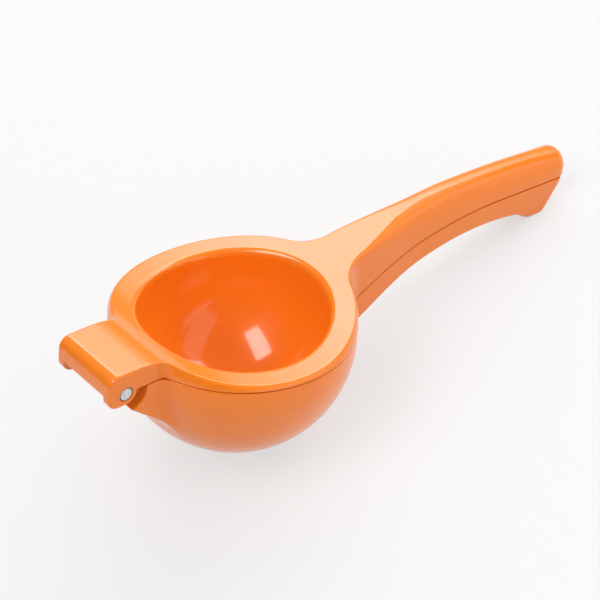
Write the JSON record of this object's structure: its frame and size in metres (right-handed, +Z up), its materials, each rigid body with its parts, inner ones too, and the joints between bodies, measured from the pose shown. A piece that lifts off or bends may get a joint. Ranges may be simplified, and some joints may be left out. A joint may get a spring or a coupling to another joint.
{
  "type": "lever citrus press",
  "caption": "Two-lever hand press with a round cup that pushes a halved fruit into a pierced bowl, joined by one cross pin behind the bowl.",
  "frame": {"origin": "middle of the bounding box, on the surface that the shut press lies on", "axes": "+X from the hinge towards the ends of the handles, +Z up; the press is shut and lies on its bowl and on the hook of the lower handle, so the bowl's axis leans 16.6 degrees from +Z towards +X"},
  "size_m": [0.2526, 0.0986, 0.0859],
  "materials": {
    "enamel": "smooth glossy orange enamel on cast aluminium",
    "pin_steel": "satin stainless steel"
  },
  "bodies": {
    "lower": {"lower_lever": "enamel"},
    "upper": {"upper_lever": "enamel", "hinge_pin": "pin_steel"}
  },
  "joints": [
    {"name": "lever_hinge", "type": "hinge", "parent": "lower", "child": "upper", "pos_m": [-0.11808, 0, 0.07478], "axis": [0, -1, 0], "range_deg": [0, 125]}
  ]
}
